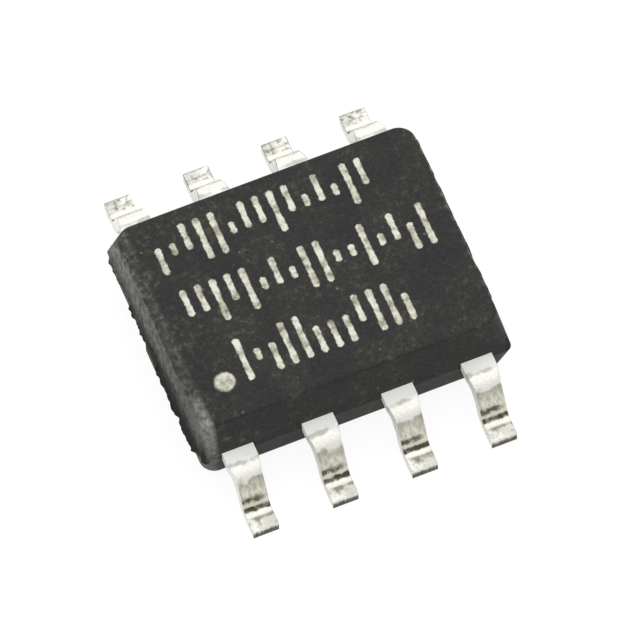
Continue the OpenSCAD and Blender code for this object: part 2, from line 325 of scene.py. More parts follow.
def shankRubAndReflection(tree, at, plating):
    # streaky olive grey on the shank, partly rub and partly painted reflection of greyer surroundings, set
    # where the surface faces outward, paler downwards, with a painted pale reflection strip near the foot
    grit, streaks = 0.045, 0.12  # mm across and along the streaks, drawn too coarse so that they show
    rubStart, rubFade, rubRagged = 0.745, 0.10, 0.5  # outward share of the surface's direction
    backStart = 0.15  # share by which the rub and its painted reflection start earlier on the back leads
    rubHigh, rubLow = 0.72, 0.50  # mm in Z, over which it gets paler
    reflectionStripAt, reflectionStripWide = 0.310, 0.06  # mm in Z, of the painted pale reflection strip
    drag = addNode(tree, "Mapping", Vector=at["place"], Scale=(1 / grit, 1 / streaks, 1 / streaks))
    gritty = addNode(tree, "TexNoise", Vector=drag, Scale=1.0, Detail=2, Roughness=0.6)
    earlier = addNode(tree, "Math", {"operation": "MULTIPLY_ADD"}, _0=at["onBack"], _1=backStart,
                      _2=at["outFace"])
    raggedFace = addNode(tree, "Math", {"operation": "MULTIPLY_ADD"}, _0=at["lobe"], _1=rubRagged,
                         _2=earlier)
    # painted reflection: the grey goes where the surface faces outward
    onShank = addNode(tree, "MapRange", Value=raggedFace, FromMin=rubStart + rubRagged / 2,
                      FromMax=rubStart + rubFade + rubRagged / 2)
    streaked = addNode(tree, "ValToRGB", {"stops": [(0.34, "#c7c5b5"), (0.64, "#edece1")]}, Fac=gritty)
    greyestUp = addNode(tree, "MapRange", Value=at["onBack"], ToMin=0.5, ToMax=0.2)
    greyerUp = addNode(tree, "MapRange", Value=at["z"], FromMin=rubLow, FromMax=rubHigh, ToMax=greyestUp)
    greyedUp = addNode(tree, "Mix", {"data_type": "RGBA"}, Factor=greyerUp, A=streaked,
                    B=linearFromHex("#96947f"))
    # painted reflection: a pale strip near the foot
    fromStrip = addNode(tree, "Math", {"operation": "SUBTRACT"}, _0=at["z"], _1=reflectionStripAt)
    offStrip = addNode(tree, "Math", {"operation": "ABSOLUTE"}, _0=fromStrip)
    strip = addNode(tree, "MapRange", Value=offStrip, FromMin=reflectionStripWide, FromMax=reflectionStripWide / 3, ToMax=0.75)
    rubAndReflection = addNode(tree, "Mix", {"data_type": "RGBA"}, Factor=strip, A=greyedUp, B=linearFromHex("#f9f7e6"))
    rubAndPaintedLight = addNode(tree, "Mix", {"data_type": "RGBA"}, Factor=onShank, A=plating, B=rubAndReflection)
    return rubAndPaintedLight, onShank


def footSmudge(tree, at, pastAnkle):
    # a smudge past the ankle, clean at its left end, which on the back leads is two lines nearer the tip
    smudgeAt, smudgeWide, smudgeRagged = 0.055, 0.08, 0.2  # mm past the ankle
    backShift, backApart = 0.1175, 0.0625  # mm
    cleanTo, fullFrom = -0.17, -0.10  # mm to the right
    smudgePlace = addNode(tree, "Math", {"operation": "MULTIPLY_ADD"}, _0=at["onBack"], _1=backShift,
                          _2=smudgeAt)
    fromSmudge = addNode(tree, "Math", {"operation": "SUBTRACT"}, _0=pastAnkle, _1=smudgePlace)
    midSmudge = addNode(tree, "Math", {"operation": "ABSOLUTE"}, _0=fromSmudge)
    splitSmudge = addNode(tree, "Math", {"operation": "MULTIPLY_ADD"}, _0=at["onBack"], _1=-backApart,
                          _2=midSmudge)
    offSmudge = addNode(tree, "Math", {"operation": "ABSOLUTE"}, _0=splitSmudge)
    narrower = addNode(tree, "Math", {"operation": "MULTIPLY_ADD"}, _0=at["onBack"], _1=offSmudge,
                       _2=offSmudge)
    nearSmudge = addNode(tree, "Math", {"operation": "MULTIPLY_ADD"}, _0=at["stain"], _1=-smudgeRagged,
                         _2=narrower)
    smudge = addNode(tree, "MapRange", Value=nearSmudge, FromMin=smudgeWide - smudgeRagged / 2,
                     FromMax=-smudgeRagged / 2)
    offLeft = addNode(tree, "MapRange", Value=at["rightward"], FromMin=cleanTo, FromMax=fullFrom,
                      ToMax=0.8)
    return addNode(tree, "Math", {"operation": "MULTIPLY"}, _0=smudge, _1=offLeft)


def footWedge(tree, at, pastAnkle):
    # the grey wedge that the forming tool left on the front leads' feet
    wedgeFrom, wedgeTo = 0.03, 0.22  # mm past the ankle, over which it narrows
    wedgeHalf, wedgeEnd = 0.12, -0.03  # mm, half its width there, which runs out before the end
    wedgeLeft, wedgeRagged = 0.055, 0.22  # mm
    narrowing = addNode(tree, "MapRange", Value=pastAnkle, FromMin=wedgeFrom, FromMax=wedgeTo,
                        ToMin=wedgeHalf, ToMax=wedgeEnd)
    fromWedge = addNode(tree, "Math", {"operation": "ADD"}, _0=at["rightward"], _1=wedgeLeft)
    offWedge = addNode(tree, "Math", {"operation": "ABSOLUTE"}, _0=fromWedge)
    inWedge = addNode(tree, "Math", {"operation": "SUBTRACT"}, _0=narrowing, _1=offWedge)
    raggedWedge = addNode(tree, "Math", {"operation": "MULTIPLY_ADD"}, _0=at["stain"], _1=wedgeRagged,
                          _2=inWedge)
    wedge = addNode(tree, "MapRange", Value=raggedWedge, FromMin=0.08, FromMax=0.17, ToMax=0.85)
    return addNode(tree, "Math", {"operation": "SUBTRACT"}, _0=wedge, _1=at["onBack"])


def footStains(tree, at, plating, faded):
    # spots and a haze to the right, thinner on the sides, under the smudge and the wedge on the top
    stainsFrom, stainsFull = 0.01, 0.04  # mm past the ankle
    hazeFrom, hazeTo, hazeRagged = -0.12, 0.03, 0.3  # mm to the right
    pastAnkle = addNode(tree, "Math", {"operation": "SUBTRACT"}, _0=at["outward"], _1=ankleY)
    onFoot = addNode(tree, "MapRange", Value=at["outward"], FromMin=ankleY + stainsFrom,
                     FromMax=ankleY + stainsFull)
    spotMost = addNode(tree, "MapRange", Value=at["onBack"], ToMin=0.5, ToMax=0.9)
    spots = addNode(tree, "MapRange", Value=at["stain"], FromMin=0.45, FromMax=0.66, ToMax=spotMost)
    leaning = addNode(tree, "Math", {"operation": "MULTIPLY_ADD"}, _0=at["stain"], _1=hazeRagged,
                      _2=at["rightward"])
    haze = addNode(tree, "MapRange", Value=leaning, FromMin=hazeFrom + hazeRagged / 2,
                   FromMax=hazeTo + hazeRagged / 2, ToMax=0.3)
    dull = addNode(tree, "Math", {"operation": "MAXIMUM"}, _0=spots, _1=haze)
    lessOnSide = addNode(tree, "MapRange", Value=at["upward"], ToMin=0.35)
    thinDull = addNode(tree, "Math", {"operation": "MULTIPLY"}, _0=dull, _1=lessOnSide)
    mark = addNode(tree, "Math", {"operation": "MAXIMUM"}, _0=footSmudge(tree, at, pastAnkle),
                   _1=footWedge(tree, at, pastAnkle))
    topMark = addNode(tree, "Math", {"operation": "MULTIPLY"}, _0=mark, _1=faded)
    dirt = addNode(tree, "Math", {"operation": "MAXIMUM"}, _0=thinDull, _1=topMark)
    footDirt = addNode(tree, "Math", {"operation": "MULTIPLY"}, _0=dirt, _1=onFoot)
    return addNode(tree, "Mix", {"data_type": "RGBA"}, Factor=footDirt, A=plating,
                   B=linearFromHex("#85826d"))


def ankleCrease(tree, at):
    # darkened in the crease of the ankle's bend
    creaseAt, creaseWide = math.radians(39), math.radians(20)  # round the bend, from the foot
    creaseRagged = 0.5  # radians
    creaseDeep = 0.03  # mm past the bend's inner face
    bendZ = leadForm["thickness"] + leadForm["bendRadius"]
    fromAnkle = addNode(tree, "Math", {"operation": "SUBTRACT"}, _0=ankleY, _1=at["outward"])
    below = addNode(tree, "Math", {"operation": "SUBTRACT"}, _0=bendZ, _1=at["z"])
    turn = addNode(tree, "Math", {"operation": "ARCTAN2"}, _0=fromAnkle, _1=below)
    offCrease = addNode(tree, "Math", {"operation": "SUBTRACT"}, _0=turn, _1=creaseAt)
    apart = addNode(tree, "Math", {"operation": "ABSOLUTE"}, _0=offCrease)
    wavering = addNode(tree, "Math", {"operation": "MULTIPLY_ADD"}, _0=at["stain"], _1=-creaseRagged,
                       _2=apart)
    crease = addNode(tree, "MapRange", Value=wavering, FromMin=creaseWide - creaseRagged / 2,
                     FromMax=creaseWide * 0.5 - creaseRagged / 2)
    creaseStrength = addNode(tree, "MapRange", Value=at["stain"], FromMin=0.36, FromMax=0.52, ToMin=0.72,
                    ToMax=0.95)
    darkCrease = addNode(tree, "Math", {"operation": "MULTIPLY"}, _0=crease, _1=creaseStrength)
    fromBend = addNode(tree, "VectorMath", {"operation": "LENGTH"},
                       _0=addNode(tree, "CombineXYZ", X=fromAnkle, Y=below))
    inside = addNode(tree, "Math", {"operation": "LESS_THAN"}, _0=fromBend.outputs["Value"],
                     _1=leadForm["bendRadius"] + creaseDeep)
    return addNode(tree, "Math", {"operation": "MULTIPLY"}, _0=darkCrease, _1=inside)


def raggedLine(tree, at):
    # a ragged, broken dark line over the ankle, fainter to the right
    lineHeight, lineWide, lineRagged = 0.375, 0.073, 0.1  # mm in Z
    lineFrom = 2.50  # mm in Y, so that it stays on the outer face
    faintFrom, fullTo = 0.18, 0.04  # mm to the right
    overLine = addNode(tree, "Math", {"operation": "SUBTRACT"}, _0=at["z"], _1=lineHeight)
    offLine = addNode(tree, "Math", {"operation": "ABSOLUTE"}, _0=overLine)
    ragged = addNode(tree, "Math", {"operation": "MULTIPLY_ADD"}, _0=at["stain"], _1=-lineRagged,
                     _2=offLine)
    line = addNode(tree, "MapRange", Value=ragged, FromMin=lineWide - lineRagged / 2,
                   FromMax=lineWide * 0.3 - lineRagged / 2, ToMax=0.85)
    outside = addNode(tree, "Math", {"operation": "GREATER_THAN"}, _0=at["outward"], _1=lineFrom)
    broken = addNode(tree, "MapRange", Value=at["stain"], FromMin=0.36, FromMax=0.50, ToMin=0.45,
                     ToMax=1.0)
    brokenLine = addNode(tree, "Math", {"operation": "MULTIPLY"}, _0=line, _1=broken)
    leftPart = addNode(tree, "MapRange", Value=at["rightward"], FromMin=faintFrom, FromMax=fullTo,
                       ToMin=0.2)
    partLine = addNode(tree, "Math", {"operation": "MULTIPLY"}, _0=brokenLine, _1=leftPart)
    return addNode(tree, "Math", {"operation": "MULTIPLY"}, _0=partLine, _1=outside)


def edgeShade(tree, at, onShank):
    # painted shade along the stamped edges, as they would mirror darker surroundings, heavier on the back
    # leads, and painted shadow in the border of the shank
    halfShank, border = 0.205, 0.09  # mm
    tipNear, tipFar = 0.02, 0.08  # mm from the tip, over which the tarnish changes
    bordering = addNode(tree, "MapRange", Value=at["fromMiddle"], FromMin=halfShank - border,
                        FromMax=halfShank, ToMax=0.15)
    shankBorder = addNode(tree, "Math", {"operation": "MULTIPLY"}, _0=bordering, _1=onShank)
    edge = addNode(tree, "Attribute", {"attribute_name": "roundedEdge"}).outputs["Fac"]
    tipShade = addNode(tree, "MapRange", Value=at["onBack"], ToMin=0.1, ToMax=1.2)
    sideShade = addNode(tree, "MapRange", Value=at["onBack"], ToMin=0.7, ToMax=1.2)
    offTip = addNode(tree, "MapRange", Value=at["outward"], FromMin=leadHigh.y - tipNear,
                     FromMax=leadHigh.y - tipFar, ToMin=tipShade, ToMax=sideShade)
    edgeShaded = addNode(tree, "Math", {"operation": "MULTIPLY"}, _0=at["stain"], _1=offTip)
    edgeShare = addNode(tree, "Math", {"operation": "MULTIPLY"}, _0=edge, _1=edgeShaded)
    return addNode(tree, "Math", {"operation": "MAXIMUM"}, _0=shankBorder, _1=edgeShare)


def matteTin():
    # matt tin electroplated on the formed leads: pale, faintly warm and satin, chalky and painted paler by
    # the moulding against the wall's shade, scuffed on the knee, grey on the shank by rub and painted
    # reflection, darkened round the ankle, stained and marked by the forming tool on the foot, with painted
    # shade along the stamped edges
    material, tree = newMaterial("matteTin")
    crystals = 0.03  # mm, like the grit and the stains drawn about five times too coarse so that they show
    at = leadPlaces(tree)
    crystal = addNode(tree, "TexNoise", Vector=at["place"], Scale=1 / crystals, Detail=2, Roughness=0.5)
    plain, paintedLightNearBody = platingWithNearBodyLight(tree, at, crystal)
    rubAndPaintedLight, onShank = shankRubAndReflection(tree, at, plain)
    fainter = addNode(tree, "MapRange", Value=at["onBack"], ToMin=1.0, ToMax=0.8)
    faded = addNode(tree, "Math", {"operation": "MULTIPLY"}, _0=at["upward"], _1=fainter)
    stained = footStains(tree, at, rubAndPaintedLight, faded)
    bothLines = addNode(tree, "Math", {"operation": "MAXIMUM"}, _0=ankleCrease(tree, at),
                        _1=raggedLine(tree, at))
    lines = addNode(tree, "Math", {"operation": "MULTIPLY"}, _0=bothLines, _1=faded)
    # dark lines round the ankle, and painted shade along the stamped edges and the shank's border
    darkLinesAndEdgeShade = addNode(tree, "Math", {"operation": "MAXIMUM"}, _0=lines, _1=edgeShade(tree, at, onShank))
    darkenedTin = addNode(tree, "Mix", {"data_type": "RGBA"}, Factor=darkLinesAndEdgeShade, A=stained,
                     B=linearFromHex("#444026"))
    satin = addNode(tree, "MapRange", Value=at["stain"], ToMin=0.48, ToMax=0.70)
    matt = addNode(tree, "MapRange", Value=paintedLightNearBody, ToMax=0.85)
    rough = addNode(tree, "Math", {"operation": "MAXIMUM"}, _0=satin, _1=matt)
    # as plated it scatters the light more than it mirrors
    mirroring = addNode(tree, "MapRange", Value=paintedLightNearBody, ToMin=1.0, ToMax=0.3)
    bump = addNode(tree, "Bump", Strength=0.3, Distance=0.003 * mm, Height=crystal)
    shader = addNode(tree, "BsdfPrincipled", BaseColor=darkenedTin, Metallic=mirroring, Roughness=rough,
                     Normal=bump)
    addNode(tree, "OutputMaterial", Surface=shader)
    return material


def shearedTip():
    # copper alloy bared where the shear cut the lead off: dull olive brown with drag lines down the cut, and
    # the tin drawn over its upper edge
    material, tree = newMaterial("shearedTip")
    dragLines, fade = 0.03, 0.3  # mm across and along the lines
    tinDown, tinFrom, tinRagged = 0.105, 0.20, 0.12  # mm in Z, over which the drawn tin thins out
    place = millimetres(tree)
    stretched = addNode(tree, "Mapping", Vector=place, Scale=(1 / dragLines, 1 / dragLines, 1 / fade))
    lines = addNode(tree, "TexNoise", Vector=stretched, Scale=1.0, Detail=2)
    bare = addNode(tree, "ValToRGB", {"stops": [(0.34, "#444233"), (0.68, "#7b7967")]}, Fac=lines)
    height = addNode(tree, "SeparateXYZ", Vector=place).outputs["Z"]
    ragged = addNode(tree, "Math", {"operation": "MULTIPLY_ADD"}, _0=lines, _1=tinRagged, _2=height)
    drawn = addNode(tree, "MapRange", Value=ragged, FromMin=tinDown + tinRagged / 2,
                    FromMax=tinFrom + tinRagged / 2)
    colour = addNode(tree, "Mix", {"data_type": "RGBA"}, Factor=drawn, A=bare, B=linearFromHex("#f9f8ef"))
    bump = addNode(tree, "Bump", Strength=0.4, Distance=0.004 * mm, Height=lines)
    shader = addNode(tree, "BsdfPrincipled", BaseColor=colour, Metallic=1.0, Roughness=0.5, Normal=bump)
    addNode(tree, "OutputMaterial", Surface=shader)
    return material


def copperSheet():
    # rolled copper alloy of the lead frame: dull pink brown with rolling lines along the sheet, smeared
    # patchily with dark resin where a tie bar comes out of the moulding
    material, tree = newMaterial("copperSheet")
    rollingLines, fade = 0.02, 0.8  # mm across and along the lines
    smearFrom, smearTo, patches = 2.34, 2.42, 0.12  # mm, the first two in X
    place = millimetres(tree)
    stretched = addNode(tree, "Mapping", Vector=place,
                        Scale=(1 / fade, 1 / rollingLines, 1 / rollingLines))
    lines = addNode(tree, "TexNoise", Vector=stretched, Scale=1.0, Detail=2)
    rolled = addNode(tree, "ValToRGB", {"stops": [(0.34, "#a27052"), (0.68, "#c9916e")]}, Fac=lines)
    along = addNode(tree, "SeparateXYZ", Vector=place).outputs["X"]
    endwards = addNode(tree, "Math", {"operation": "ABSOLUTE"}, _0=along)
    atStub = addNode(tree, "MapRange", Value=endwards, FromMin=smearFrom, FromMax=smearTo)
    patch = addNode(tree, "TexNoise", Vector=place, Scale=1 / patches, Detail=3, Roughness=0.6)
    normal = addNode(tree, "NewGeometry").outputs["Normal"]
    facing = addNode(tree, "SeparateXYZ", Vector=normal)
    endFacing = addNode(tree, "Math", {"operation": "ABSOLUTE"}, _0=facing.outputs["X"])
    onCut = addNode(tree, "MapRange", Value=endFacing, FromMin=0.6, FromMax=0.8)
    thin = addNode(tree, "MapRange", Value=patch, FromMin=0.45, FromMax=0.62, ToMax=0.12)
    bare = addNode(tree, "Math", {"operation": "MULTIPLY"}, _0=thin, _1=onCut)
    covered = addNode(tree, "Math", {"operation": "SUBTRACT"}, _0=0.97, _1=bare)
    smear = addNode(tree, "Math", {"operation": "MULTIPLY"}, _0=atStub, _1=covered)
    colour = addNode(tree, "Mix", {"data_type": "RGBA"}, Factor=smear, A=rolled,
                     B=linearFromHex("#32322d"))
    bared = addNode(tree, "Math", {"operation": "SUBTRACT"}, _0=1.0, _1=smear)
    rough = addNode(tree, "MapRange", Value=smear, ToMin=0.45, ToMax=0.85)
    bump = addNode(tree, "Bump", Strength=0.3, Distance=0.002 * mm, Height=lines)
    shader = addNode(tree, "BsdfPrincipled", BaseColor=colour, Metallic=bared, Roughness=rough,
                     Normal=bump)
    addNode(tree, "OutputMaterial", Surface=shader)
    return material


def silverAdhesive():
    # die adhesive full of silver flakes: grey, glittering a little, uneven where it was squeezed out
    material, tree = newMaterial("silverAdhesive")
    flakes, squeeze = 0.02, 0.2  # mm
    place = millimetres(tree)
    flake = addNode(tree, "TexVoronoi", Vector=place, Scale=1 / flakes)
    uneven = addNode(tree, "TexNoise", Vector=place, Scale=1 / squeeze, Detail=2)
    mixed = addNode(tree, "Mix", {"data_type": "FLOAT"}, Factor=0.5, A=flake.outputs["Distance"], B=uneven)
    colour = addNode(tree, "ValToRGB", {"stops": [(0.25, "#c6c6c0"), (0.70, "#8d8c86")]}, Fac=mixed)
    bump = addNode(tree, "Bump", Strength=0.4, Distance=0.003 * mm, Height=flake.outputs["Distance"])
    shader = addNode(tree, "BsdfPrincipled", BaseColor=colour, Metallic=0.6, Roughness=0.5, Normal=bump)
    addNode(tree, "OutputMaterial", Surface=shader)
    return material


def passivatedSilicon():
    # silicon under a glassy passivation: dark blue grey, with the paler blocks and lines of its circuit
    material, tree = newMaterial("passivatedSilicon")
    blocks, linesApart = 0.16, 0.1885  # mm, the lines drawn far too coarse so that they show
    waveTurns = 20  # radians of the wave pattern to each unit of its scale
    place = millimetres(tree)
    block = addNode(tree, "TexVoronoi", {"distance": "CHEBYCHEV"}, Vector=place, Scale=1 / blocks)
    shade = addNode(tree, "SeparateColor", Color=block.outputs["Color"])
    line = addNode(tree, "TexWave", Vector=place, Distortion=0.0,
                   Scale=2 * math.pi / linesApart / waveTurns)
    mixed = addNode(tree, "Mix", {"data_type": "FLOAT"}, Factor=0.35, A=shade, B=line.outputs["Fac"])
    colour = addNode(tree, "ValToRGB", {"stops": [(0.20, "#394049"), (0.80, "#7b848c")]}, Fac=mixed)
    shader = addNode(tree, "BsdfPrincipled", BaseColor=colour, Metallic=0.3, Roughness=0.2)
    addNode(tree, "OutputMaterial", Surface=shader)
    return material


def drawnGold():
    # gold wire drawn through a die: bright yellow, with fine draw lines that dull it a little
    material, tree = newMaterial("drawnGold")
    drawLines = 0.004  # mm
    place = millimetres(tree)
    lines = addNode(tree, "TexNoise", Vector=place, Scale=1 / drawLines, Detail=1)
    colour = addNode(tree, "ValToRGB", {"stops": [(0.35, "#c99b3c"), (0.65, "#e3bd5c")]}, Fac=lines)
    rough = addNode(tree, "MapRange", Value=lines, ToMin=0.2, ToMax=0.35)
    shader = addNode(tree, "BsdfPrincipled", BaseColor=colour, Metallic=1.0, Roughness=rough)
    addNode(tree, "OutputMaterial", Surface=shader)
    return material


def etchedResin():
    # resin foamed pale by the marking laser: cream and chalky, patchy where the pulses missed, scorched
    # brown at the rim of a stroke
    material, tree = newMaterial("etchedResin")
    pulses, patches = 0.035, 0.15  # mm
    place = millimetres(tree)
    pulse = addNode(tree, "TexNoise", Vector=place, Scale=1 / pulses, Detail=2, Roughness=0.6)
    patch = addNode(tree, "TexNoise", Vector=place, Scale=1 / patches, Detail=3, Roughness=0.6)
    uneven = addNode(tree, "Mix", {"data_type": "FLOAT"}, Factor=0.2, A=patch, B=pulse)
    pale = addNode(tree, "ValToRGB", {"stops": [(0.34, "#817d6e"), (0.45, "#b7b5a4"), (0.58, "#deded1")]},
                   Fac=uneven)
    core = addNode(tree, "Attribute", {"attribute_name": "strokeCore"}).outputs["Fac"]
    ragged = addNode(tree, "Math", {"operation": "MULTIPLY_ADD"}, _0=uneven, _1=0.6, _2=core)
    foamed = addNode(tree, "MapRange", Value=ragged, FromMin=0.40, FromMax=0.90)
    colour = addNode(tree, "Mix", {"data_type": "RGBA"}, Factor=foamed, A=linearFromHex("#5d584d"), B=pale)
    bump = addNode(tree, "Bump", Strength=0.5, Distance=0.006 * mm, Height=pulse)
    shader = addNode(tree, "BsdfPrincipled", BaseColor=colour, Roughness=0.85, SpecularIORLevel=0.2,
                     Normal=bump)
    addNode(tree, "OutputMaterial", Surface=shader)
    return material


def whiteBoard(toEye, inMetal, bounce):
    # matt white board: white to the eye and in the metal, with a share of the shadow kept on it
    material, tree = newMaterial("whiteBoard")
    plain = addNode(tree, "BsdfDiffuse", Color=(bounce, bounce, bounce, 1))
    whites = []
    for share, level in (toEye, inMetal):
        shaded = addNode(tree, "BsdfDiffuse", Color=(share, share, share, 1))
        glow = addNode(tree, "Emission", Strength=1 - share * level)
        whites.append(addNode(tree, "AddShader", _0=shaded, _1=glow))
    ray = addNode(tree, "LightPath").outputs
    mirrored = addNode(tree, "Math", {"operation": "MAXIMUM"}, _0=ray["Is Glossy Ray"],
                       _1=ray["Is Transmission Ray"])
    inMirror = addNode(tree, "MixShader", _0=mirrored, _1=plain, _2=whites[1])
    choice = addNode(tree, "MixShader", _0=ray["Is Camera Ray"], _1=inMirror, _2=whites[0])
    addNode(tree, "OutputMaterial", Surface=choice)
    return material


epoxy, tin, cut, copper, etched = mouldedEpoxy(), matteTin(), shearedTip(), copperSheet(), etchedResin()
print("materials made")


# leads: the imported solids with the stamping's rounded edges
leadEdge = {
    "radius": 0.026,
    "steps": 3,
    "tipDepth": 0.02,  # mm, in which faces may belong to the cut
    "cutFacing": 0.9,  # how much such a face looks outward
    "burrFacing": 0.3,  # the same on the lower edge, which is the shear's burr
}


def softEdged(node, name, edge):
    flatWithin, sharpFrom = math.radians(1), math.radians(30)  # between neighbouring faces
    shape = bmesh.new()
    shape.from_mesh(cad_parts[node].data)
    bmesh.ops.remove_doubles(shape, verts=shape.verts, dist=weldWithin * mm)
    bmesh.ops.dissolve_limit(shape, angle_limit=flatWithin, verts=shape.verts, edges=shape.edges)
    sharp = [e for e in shape.edges if e.calc_face_angle(0) > sharpFrom]
    made = bmesh.ops.bevel(shape, geom=sharp, offset=edge["radius"] * mm, segments=edge["steps"],
                           profile=0.5, affect="EDGES", clamp_overlap=True)
    rounded = set(made["faces"])
    onRoundedEdge = shape.verts.layers.float.new("roundedEdge")  # one in the middle of a rounded edge, none on the flats
    for vert in shape.verts:
        vert[onRoundedEdge] = float(all(face in rounded for face in vert.link_faces))
    mesh = meshFrom(shape, name)
    mesh.shade_smooth()
    return mesh


leads = []
for number in leadNumbers:
    mesh = softEdged(f"lead_{number}", f"gullWingLead{number}", leadEdge)
    lead = newPiece(f"gullWingLead{number}", mesh, [tin, cut], [f"lead_{number}"])
    for face in mesh.polygons:
        atTip = abs(face.center.y) > (leadHigh.y - leadEdge["tipDepth"]) * mm
        outFacing = leadEdge["cutFacing"] if face.normal.z > 0 else leadEdge["burrFacing"]
        face.material_index = int(atTip and abs(face.normal.y) > outFacing)
    lead.modifiers.new("evenNormals", "WEIGHTED_NORMAL")
    leads.append(settle(lead))
print("leads made,", sum(len(o.data.polygons) for o in leads), "faces")


# die paddle, whose tie bars show as cut stubs in the end walls
paddleEdge = {"radius": 0.012, "steps": 2}
paddleMesh = softEdged("die_paddle", "diePaddle", paddleEdge)
diePaddle = newPiece("diePaddle", paddleMesh, [copper], ["die_paddle"])


# die, adhesive and wires stay as packed, inside the moulding
finishes = {"die_attach": silverAdhesive(), "silicon_die": passivatedSilicon()}
gold = drawnGold()
finishes.update({f"bond_wire_{number}": gold for number in leadNumbers})
for node, finish in finishes.items():
    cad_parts[node].data.materials.clear()
    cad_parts[node].data.materials.append(finish)
print("inner pieces finished,", len(finishes))


# moulding: drafted walls, tapered corners, rounded edges, and a ragged flash along the parting line
moulding = {
    "endDraft": 8.5,
    "sideDraft": 11.0,
    "partingCorner": 0.10,
    "topCorner": 0.28,
    "edgeRadius": 0.04,
    "edgeSteps": 4,
    "cornerSteps": 12,
    "pointsApart": 0.04,
    "flashThickness": 0.03,
    "flashGrain": 0.25,
    "flashMean": 0.85,  # of a tongue's reach, with shares for its coarse and its fine raggedness
    "flashCoarse": 0.3,
    "flashFine": 0.15,
    "flashFiner": 2.7,  # times finer than the grain
    "nibbleFiner": 3.1,
    # tongues of flash at -X and at +X: range in Y and reach
    "nearFlash": [(1.85, 1.28, 0.045), (0.98, 0.08, 0.065), (-0.08, -1.75, 0.095)],
    "farFlash": [(1.95, -1.10, 0.050)],
    "tongueEnds": 0.07,  # mm, over which a tongue rises
    "nearChipped": 0.04,  # mm that the seam lost at -X where flash broke off
    "chipHeight": 0.20,
    "nibbled": 0.035,  # mm, the finer raggedness of the seam at -X
    "ejectorRadius": 0.50,
    "ejectorDepth": 0.03,
    "ejectorLength": 1.0,  # mm of the pin that cuts its mark
    "ejectorSteps": 64,
}


def mouldingRing(z, drawnIn=0, flash=0):
    rise = abs(z - partingZ)
    taper = (moulding["topCorner"] - moulding["partingCorner"]) / (bodyHigh.z - partingZ)
    radius = moulding["partingCorner"] + rise * taper - drawnIn
    halfX = bodyHigh.x - rise * math.tan(math.radians(moulding["endDraft"])) - drawnIn - radius
    halfY = bodyHigh.y - rise * math.tan(math.radians(moulding["sideDraft"])) - drawnIn - radius
    steps = [round(2 * size / moulding["pointsApart"]) for size in (bodyHigh.x, bodyHigh.y)]
    centres = [Vector((x * halfX, y * halfY, z)) for x, y in ((1, 1), (-1, 1), (-1, -1), (1, -1))]
    points = []
    for quarter, centre in enumerate(centres):
        for k in range(moulding["cornerSteps"] + 1):
            angle = math.radians(90) * (quarter + k / moulding["cornerSteps"])
            outward = Vector((math.cos(angle), math.sin(angle), 0))
            points.append((centre + radius * outward, outward))
        ahead = centres[(quarter + 1) % 4]
        for k in range(1, steps[quarter % 2]):
            points.append((centre.lerp(ahead, k / steps[quarter % 2]) + radius * outward, outward))
    if flash:  # the lip has all of the flash, its root only what was chipped off
        most = math.inf if flash > 0 else 0
        return [p + outward * min(flashReach(p, outward), most) for p, outward in points]
    return [p for p, outward in points]


def flashReach(point, outward):
    place = Vector((point.x, point.y, 0)) / moulding["flashGrain"]
    coarse = moulding["flashCoarse"] * noise.noise(place)
    fine = moulding["flashFine"] * noise.noise(place * moulding["flashFiner"])
    ragged = moulding["flashMean"] + coarse + fine
    near = outward.x < 0
    reach = -moulding["nearChipped"] if near else 0
    for start, stop, most in moulding["nearFlash" if near else "farFlash"]:
        share = min(start - point.y, point.y - stop) / moulding["tongueEnds"]
        reach += most * ragged * min(max(share, 0), 1)
    nibble = moulding["nibbled"] * noise.noise(place * moulding["nibbleFiner"])
    return reach * outward.x ** 2 + nibble * math.sqrt(max(-outward.x, 0))


def mouldingRings():
    edge, half, chip = moulding["edgeRadius"], moulding["flashThickness"] / 2, moulding["chipHeight"]
    turns = [math.radians(90) * k / moulding["edgeSteps"] for k in range(moulding["edgeSteps"] + 1)]
    lowEdge = [mouldingRing(bodyLow.z + edge * (1 - math.sin(a)), edge * (1 - math.cos(a))) for a in turns]
    highEdge = [mouldingRing(bodyHigh.z - edge * (1 - math.sin(a)), edge * (1 - math.cos(a))) for a in turns]
    root = [mouldingRing(partingZ + way * half, flash=-1) for way in (-1, 1)]
    lip = [mouldingRing(partingZ + way * half / 2, flash=1) for way in (-1, 1)]
    seam = [mouldingRing(partingZ - chip), root[0], *lip, root[1], mouldingRing(partingZ + chip)]
    return lowEdge[::-1] + seam + highEdge


def ringsToMesh(rings, name):
    shape = bmesh.new()
    loops = [[shape.verts.new(p * mm) for p in ring] for ring in rings]
    for low, high in zip(loops, loops[1:]):
        for i in range(len(low)):
            j = (i + 1) % len(low)
            shape.faces.new((low[i], low[j], high[j], high[i]))
    shape.faces.new(reversed(loops[0]))
    shape.faces.new(loops[-1])
    mesh = meshFrom(shape, name)
    mesh.shade_smooth()
    return mesh


